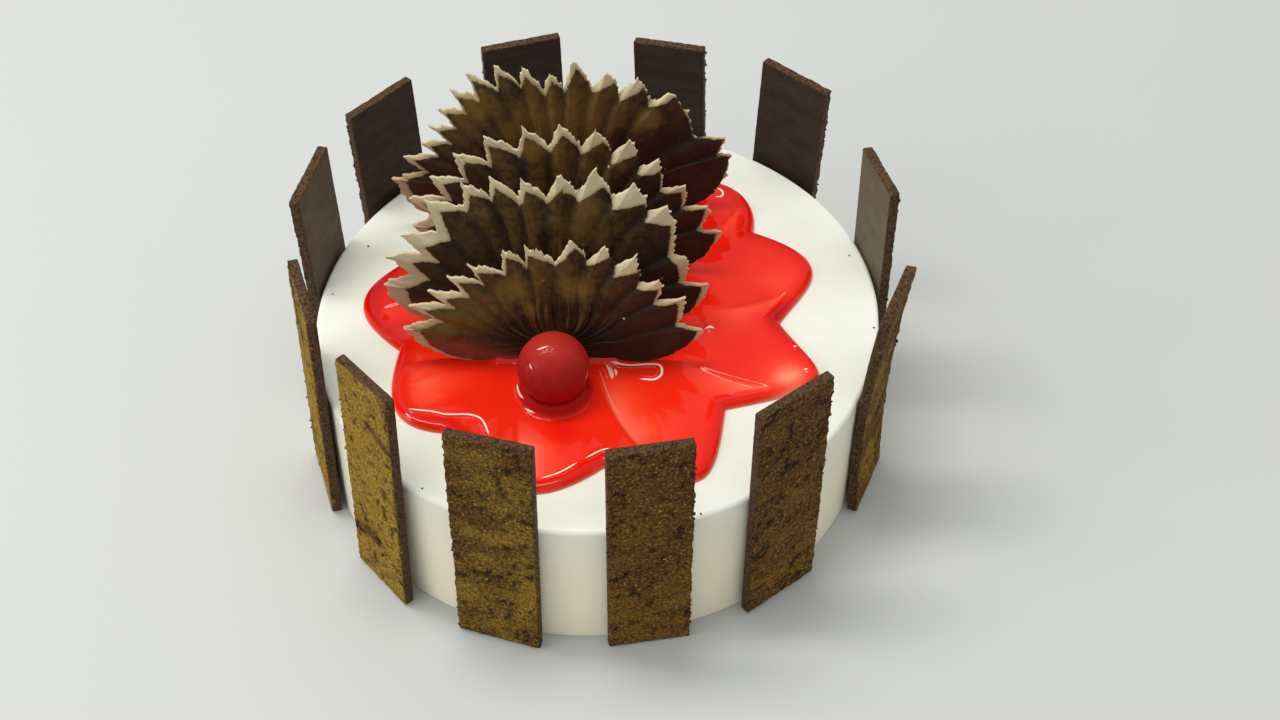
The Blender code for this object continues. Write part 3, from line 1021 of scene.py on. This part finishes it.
def buildFan(name, place, turn, lean, rightPale, border, teeth, gold, spec, finish, seed):
    source = random.Random(seed)
    edge = fanEdge(teeth, rightPale, border, spec, source)
    torn = edge.copy()
    along = np.column_stack([edge[:, 0], edge[:, 1] * 0.9, edge[:, 0] * 0])
    jagged = roughness(along, 1.8, 4, seed * 7.3) * smooth(edge[:, 0], -14, -6)
    jagged *= smooth(edge[:, 0], 194, 186)
    burrs = np.clip(0.22 - np.abs(roughness(along, 3.4, 3, seed * 5.7)), 0, None) / 0.22
    burrs *= smooth(edge[:, 0], -10, 4) * smooth(edge[:, 0], 190, 176)
    torn[:, 1] += spec["ragged"] * (jagged - 0.1) + spec["burrs"] * (burrs**2 - 0.15)
    torn[:, 0] += 0.9 * roughness(along, 3.1, 2, seed * 3.1) * smooth(edge[:, 3], 0.2, 0.8)
    torn[:, 0] = np.maximum.accumulate(torn[:, 0])
    x, y, z, share, column, faces = fanShape(torn, spec, seed)
    turned = math.radians(turn)
    leaning = math.radians(lean)
    right = np.array((math.cos(turned), math.sin(turned), 0))
    back = np.array((-math.sin(turned), math.cos(turned), 0))
    up = np.array((0, 0, math.cos(leaning))) + back * math.sin(leaning)
    front = np.cross(right, up)
    base = np.array((*place, cream["height"] / mm + spec["baseAboveCake"]))
    pivot = base + up * spec["pivotHeight"]
    points = (pivot + x[:, None] * right + y[:, None] * up + z[:, None] * front) * mm
    title = "chocolateFan" + name.split("_")[1].capitalize()
    piece = makePiece(title, points, faces, finish, "root", [name], 60)
    degrees = edge[column, 0]
    # more olive in the middle and on the fold crests: gold dust, and painted light on the crests
    ridge = smooth(edge[column, 2], 0.1, 0.9) * smooth(share, 0.2, 0.6)
    patches = (0.06 + 0.22 * ridge) * np.exp(-((x / 30) ** 2)) * smooth(y, 4, 18)
    for across, high, reach, strength in gold:
        patches += strength * np.exp(-((np.hypot(x - across, y - high) / reach) ** 2))
    painted = {
        "paleGap": paleBorder(x, y, edge, spec),
        # painted shade in the fold valleys
        "valley": smooth(-edge[column, 2], -0.2, 0.9) * smooth(share, 0.08, 0.5),
        # painted shade on the sides
        "sideways": smooth(np.abs(degrees - 88), 22, 62),
        "leftward": smooth(degrees, 80, 100),
        "lowSide": 0.8 * smooth(88 - degrees, 35, 70) + smooth(degrees - 88, 58, 88),
        "nearBase": 1 - smooth(share, 0.3, 0.62),
        # painted reflection of the red gel on the low left end
        "glow": smooth(degrees, 172, 184) * smooth(share, 0.35, 0.75),
        "goldDust": np.clip(patches, 0, 1),
        "streakPlace": np.column_stack([degrees * 0.55, x * 0.04, y * 0.04 + seed * 9.7]),
    }
    for layer, values in painted.items():
        paint(piece, layer, values)


fanCoat = fanFinish(fans)
for seed, (fanName, row) in enumerate(fans["set"].items(), start=1):
    buildFan(fanName, *row, fans, fanCoat, seed)
print("fans ready")


# the fence of panels

panels = {
    "width": 30.2,
    "height": 101.0,
    "thickness": 3.8,
    "across": 44,
    "upward": 144,
    "through": 6,
    "corner": 0.5,
    "rough": 0.34,
    "ragged": 0.55,
    "crumbs": 30,
    "crumbSizes": (0.25, 0.8, 0.35),
    "layerSize": 15.0,
    "patchSize": 19.0,
    "grainSize": 2.3,
    "pitSize": 3.2,
    "set": (
        # azimuth, turn, lean, tip, width, height, bow, slope, gold dust with painted gold light,
        # painted sheen inside
        (-111.4, 1.4, 3.0, -0.9, 1.0, 1.0, 0.0, 0.032, 0.58, 0.0),
        (-83.3, 0.0, 1.2, -1.4, 0.95, 1.0, 0.0, 0.015, 0.25, 0.0),
        (-56.1, 1.6, 0.7, -2.3, 1.03, 1.0, 0.0, 0.0, 0.3, 0.0),
        (-23.2, -2.5, -2.5, -1.2, 0.96, 1.0, 2.4, 0.019, 0.6, 0.3),
        (9.6, 2.5, -0.8, -1.6, 0.95, 1.0, 0.0, -0.029, 0.4, 1.0),
        (44.4, 2.2, -3.4, 1.4, 1.0, 1.01, 0.0, 0.0, 0.4, 0.0),
        (71.2, 1.9, 0.3, -0.5, 0.93, 1.0, 0.0, 0.0, 0.4, 0.0),
        (103.3, -0.6, -0.7, 0.0, 1.03, 1.02, 0.0, 0.0, 0.4, 0.0),
        (136.7, -2.3, -0.9, 0.0, 1.02, 1.02, 0.0, 0.0, 0.4, 0.1),
        (162.4, 1.6, 0.7, -0.9, 1.02, 1.03, 0.0, 0.0, 0.5, 0.8),
        (194.2, 1.6, 2.8, -1.6, 1.04, 1.02, 0.0, 0.0, 2.4, 0.3),
        (222.6, -4.7, 3.7, 0.4, 0.95, 1.02, 0.0, 0.041, 2.5, 0.0),
    ),
    "dark": tint(38, 24, 11),
    "brown": tint(102, 67, 21),
    "light": tint(182, 142, 70),
    "gold": tint(194, 153, 50),
    "inner": tint(50, 39, 30),
    # painted light on some panels' inner faces
    "sheen": tint(104, 97, 78),
    "edge": tint(94, 68, 44),
    # painted shade between grains and in pits, and painted highlights on the grains
    "gap": tint(24, 15, 7),
    "pit": tint(22, 14, 7),
    "glint": tint(206, 184, 138),
    "innerPale": tint(60, 49, 40),
    "innerFleck": tint(128, 114, 98),
    "edgeDark": tint(52, 36, 22),
    # painted highlights on the side faces
    "edgeGlint": tint(150, 122, 78),
}


def panelFinish(spec):
    made = Finish("panelFinish", spec, Specular_IOR_Level=0.15)
    outer = made.attribute("outerFace")
    rim = made.attribute("sideFace")
    gold = made.attribute("goldDust")
    pit = made.attribute("pit")
    crumbly = made.attribute("crumbly")
    place = made.attribute("grainPlace", "Vector")
    fine = made.speckle(place, 0.7 * mm, 2.0, 0.6)
    grain = made.speckle(place, 1.3 * mm, 3.0, 0.7)
    layered = made.speckle(made.stretched(place, (1, 2.6, 1)), 14 * mm)
    gaps = made.cells(place, 1.6 * mm, "DISTANCE_TO_EDGE").fade(0.14, 0.02)
    mixed = grain * 0.65 + fine * 0.35
    soft = (gold + (layered - 0.5) * 0.6).fade(0.0, 1.2)
    glitter = (fine * 0.6 + grain * 0.4).fade(0.6, 0.67) * (0.22 + crumbly * 0.6)
    # the gap and pit rows are painted shade, the glint row painted highlights on the grains
    rough = made.layers(
        "brown",
        (soft * 0.72, "gold"),
        (layered.fade(0.5, 0.36) * 0.12, "dark"),
        (mixed.fade(0.53, 0.37) * (0.62 - soft * 0.3), "dark"),
        (mixed.fade(0.53, 0.64) * (0.4 + crumbly * 0.35), "light"),
        (gaps * grain.fade(0.54, 0.44) * (0.2 + crumbly * 0.7), "gap"),
        (pit * 0.8, "pit"),
        (glitter, "glint"),
    )
    plain = made.layers(
        "inner",
        (layered.fade(0.35, 0.7), "innerPale"),
        # painted light on some panels' inner faces
        (made.attribute("sheen") * (0.4 + layered), "sheen"),
        (fine.fade(0.66, 0.76) * 0.4, "innerFleck"),
    )
    sides = made.blend(mixed.fade(0.4, 0.56), "edgeDark", "edge")
    # painted highlights on the side faces
    sides = made.blend(glitter * 0.6, sides, "edgeGlint")
    made.feed("Base Color", made.layers(plain, (rim, sides), (outer, rough)))
    made.feed("Roughness", 0.55 + outer * 0.25 + (fine - 0.5) * 0.2)
    lively = 0.22 + outer * 0.78 + rim * 0.4
    made.relief((fine * 0.6 + grain * 1.8 - pit * 0.5 - gaps * 0.8) * lively, 0.6 * mm, 1.0)
    return made


def panelAxes(azimuth, turn, lean, tip):
    facing = math.radians(azimuth + turn)
    lean = math.radians(lean)
    tip = math.radians(tip)
    outward = np.array((math.cos(facing), math.sin(facing), 0))
    across = np.array((-math.sin(facing), math.cos(facing), 0))
    upward = np.array((0, 0, math.cos(lean))) - outward * math.sin(lean)
    tipped = across * math.cos(tip) + upward * math.sin(tip)
    raised = upward * math.cos(tip) - across * math.sin(tip)
    return tipped, raised, outward * math.cos(lean) + np.array((0, 0, math.sin(lean)))


def standUp(points, height, thick, slope, bow):
    # from the slab's middle to its foot, with the top edge's slope and the bend of its face
    points = points + np.array((0, height / 2, thick / 2))
    climb = points[:, 1] / height
    inside = np.clip(climb, 0, 1)
    points[:, 1] += climb * slope * points[:, 0]
    points[:, 2] -= bow * 4 * inside * (1 - inside)
    return points


def buildPanel(number, row, spec, grid, faces, finish):
    azimuth, turn, lean, tip, wide, tall, bow, slope, gold, sheen = row
    source = random.Random(100 + number)
    width = spec["width"] * wide
    height = spec["height"] * tall
    thick = spec["thickness"]
    counts = np.array((spec["across"], spec["upward"], spec["through"]))
    share = grid / counts
    x = (share[:, 0] - 0.5) * width
    up = share[:, 1]
    z = share[:, 2] * thick
    half = np.array((width / 2, height / 2, thick / 2))
    centred = np.column_stack([x, (up - 0.5) * height, z - thick / 2])
    core = np.clip(centred, -(half - spec["corner"]), half - spec["corner"])
    normal = centred - core
    normal /= np.linalg.norm(normal, axis=1)[:, None]
    local = core + normal * spec["corner"]
    outer = smooth(normal[:, 2], 0.5, 0.95)
    sides = smooth(np.maximum(np.abs(normal[:, 0]), np.abs(normal[:, 1])), 0.3, 0.8)
    shift = source.uniform(0, 90)
    sheet = local * np.array((1.0, 1.7, 1.0))
    crumbly = 0.5 + 0.5 * roughness(sheet, spec["layerSize"], 3, shift)
    grains = roughness(local, spec["grainSize"], 3, shift)
    pits = np.clip(-roughness(local, spec["pitSize"], 2, shift + 7) - 0.12, 0, None) * 2.6
    rise = spec["rough"] * (grains * (0.35 + crumbly) - pits * crumbly * 1.3)
    rise += 0.25 * roughness(local, 12.0, 2, shift + 3)
    rise = rise * outer + 0.07 * grains * (1 - outer)
    local = local + normal * rise[:, None]
    edgeNoise = roughness(np.column_stack([local[:, 1], np.sign(x) * 9, x * 0]), 2.6, 3, shift)
    nearEdge = smooth(np.abs(x), width / 2 - 1.2, width / 2)
    local[:, 0] += np.sign(x) * spec["ragged"] * edgeNoise * nearEdge * share[:, 2] ** 2
    axes = np.array(panelAxes(azimuth, turn, lean, tip))
    places = []
    sizes = []
    for _ in range(spec["crumbs"]):
        side = source.choice((-1, 1))
        level = source.uniform(-0.49, 0.49)
        depth = source.uniform(0.15, 0.5)
        places.append(np.array((side * (width / 2 - 0.1), level * height, depth * thick)))
        sizes.append(source.triangular(*spec["crumbSizes"]))
    whole, allFaces = addLumps(local, faces, places, sizes, source)
    extra = len(whole) - len(local)
    whole = standUp(whole, height, thick, slope, bow)
    # the bare slab's middle goes where the solid's is
    bare = standUp(centred, height, thick, slope, bow) @ axes * mm
    name = f"panel_{number:02d}"
    title = f"chocolatePanel{number:02d}"
    low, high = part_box(name)
    middle = (np.array(low) + np.array(high)) / 2
    world = whole @ axes * mm + middle - (bare.min(0) + bare.max(0)) / 2
    piece = makePiece(title, world, allFaces, finish, "root", [name], 70)
    # where the pits get painted shade
    deep = np.clip(pits * crumbly * 1.5, 0, 1) * outer
    # gold dust, and more gold low down as painted gold light from below
    patch = 0.5 + 0.9 * roughness(sheet, spec["patchSize"], 3, shift + 11)
    patch = np.clip(patch - 0.5 * crumbly + 0.3, 0, 1) * gold + 0.28 * (1 - up) - 0.06
    painted = (
        # name, values on the slab, value on its crumbs
        ("outerFace", outer, 1.0),
        ("sideFace", sides, 0.0),
        ("crumbly", crumbly, 1.0),
        ("pit", deep, 0.0),
        ("goldDust", patch, 0.3 * gold),
        # painted light on the inner face
        ("sheen", np.full(len(local), sheen), sheen),
    )
    for layer, values, onCrumbs in painted:
        paint(piece, layer, np.concatenate([values, np.full(extra, onCrumbs)]))
    paint(piece, "grainPlace", (whole + np.array((shift, shift * 2, 0))) * mm)


panelCoat = panelFinish(panels)
panelGrid, panelFaces = blockGrid(panels["across"], panels["upward"], panels["through"])
for number, row in enumerate(panels["set"], start=1):
    buildPanel(number, row, panels, panelGrid, panelFaces, panelCoat)
print("panels ready")


# loose crumbs on the cream

crumbs = {
    # in mm
    "places": ((-98, 15), (96, 22), (100, -16), (-86, 40), (31, -97), (-62, -80)),
    "sizes": (0.2, 0.42),
    "lift": 0.15,
    "dark": tint(40, 28, 20),
    "pale": tint(92, 70, 44),
}


def buildCrumbs(spec):
    source = random.Random(5)
    finish = Finish("crumbFinish", spec, Roughness=0.7)
    grain = finish.speckle(finish.place(), 0.4 * mm)
    finish.feed("Base Color", finish.blend(grain, "dark", "pale"))
    level = cream["height"] / mm + spec["lift"]
    places = [np.array((x, y, level)) for x, y in spec["places"]]
    sizes = [source.uniform(*spec["sizes"]) for _ in places]
    points, faces = addLumps(np.zeros((0, 3)), [], places, sizes, source)
    makePiece("creamCrumbs", points * mm, faces, finish, "root", [])


buildCrumbs(crumbs)
print("crumbs ready")

print("whole cake ready")
